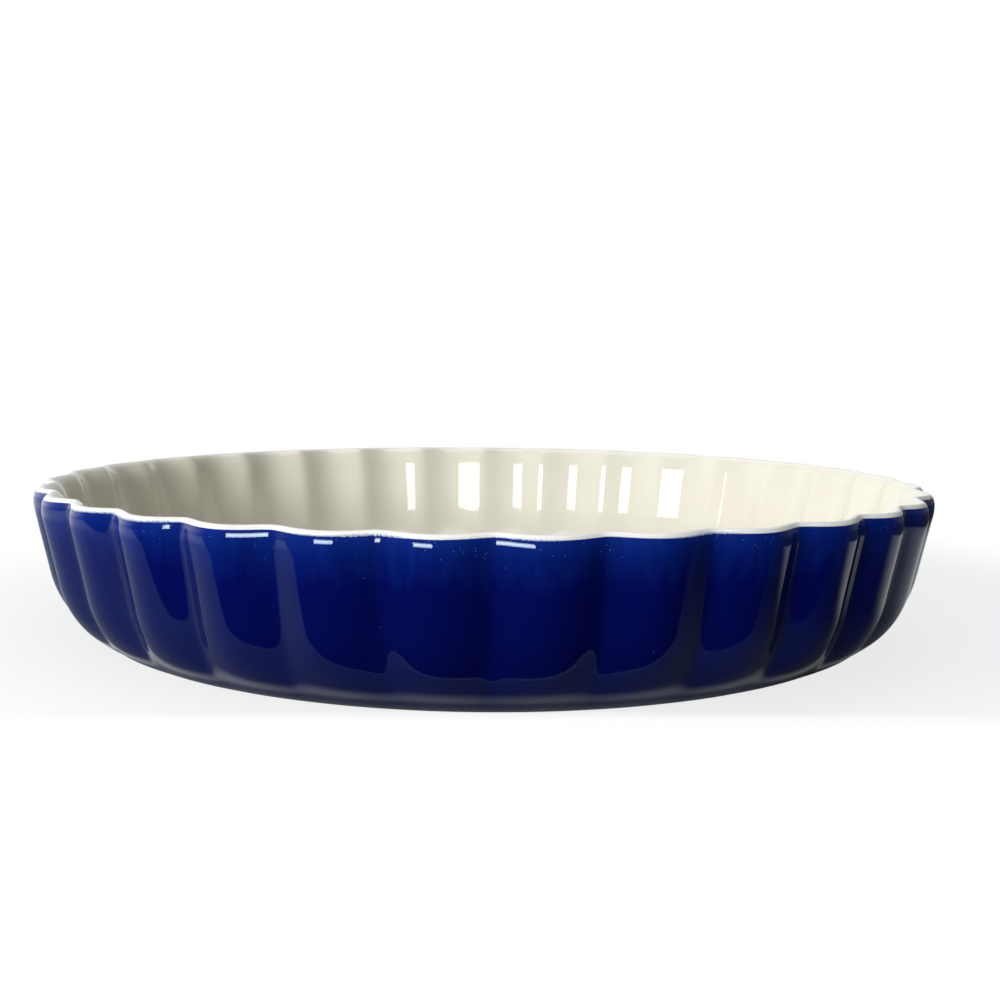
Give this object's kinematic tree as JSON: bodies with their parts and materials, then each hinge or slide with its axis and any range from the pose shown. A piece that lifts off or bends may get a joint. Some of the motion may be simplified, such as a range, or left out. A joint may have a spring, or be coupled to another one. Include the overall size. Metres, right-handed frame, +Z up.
{
  "type": "pie dish",
  "caption": "Round fluted stoneware pie dish with a flared scalloped wall, a flat floor and a bare foot ring, glazed blue outside and ivory inside.",
  "frame": {"origin": "centre of the foot ring, on the surface that the dish stands on", "axes": "+Z up along the dish's axis of symmetry, -Y towards the side that the picture shows, through a crease between two flutes"},
  "size_m": [0.2772, 0.2772, 0.0482],
  "materials": {
    "stoneware": "bare fired clay, fine grained and matt",
    "ivory_glaze": "glossy ivory glaze",
    "cobalt_glaze": "glossy cobalt blue glaze"
  },
  "bodies": {
    "root": {"stoneware_body": "stoneware", "inner_glaze": "ivory_glaze", "outer_glaze": "cobalt_glaze", "base_glaze": "cobalt_glaze"}
  },
  "joints": []
}
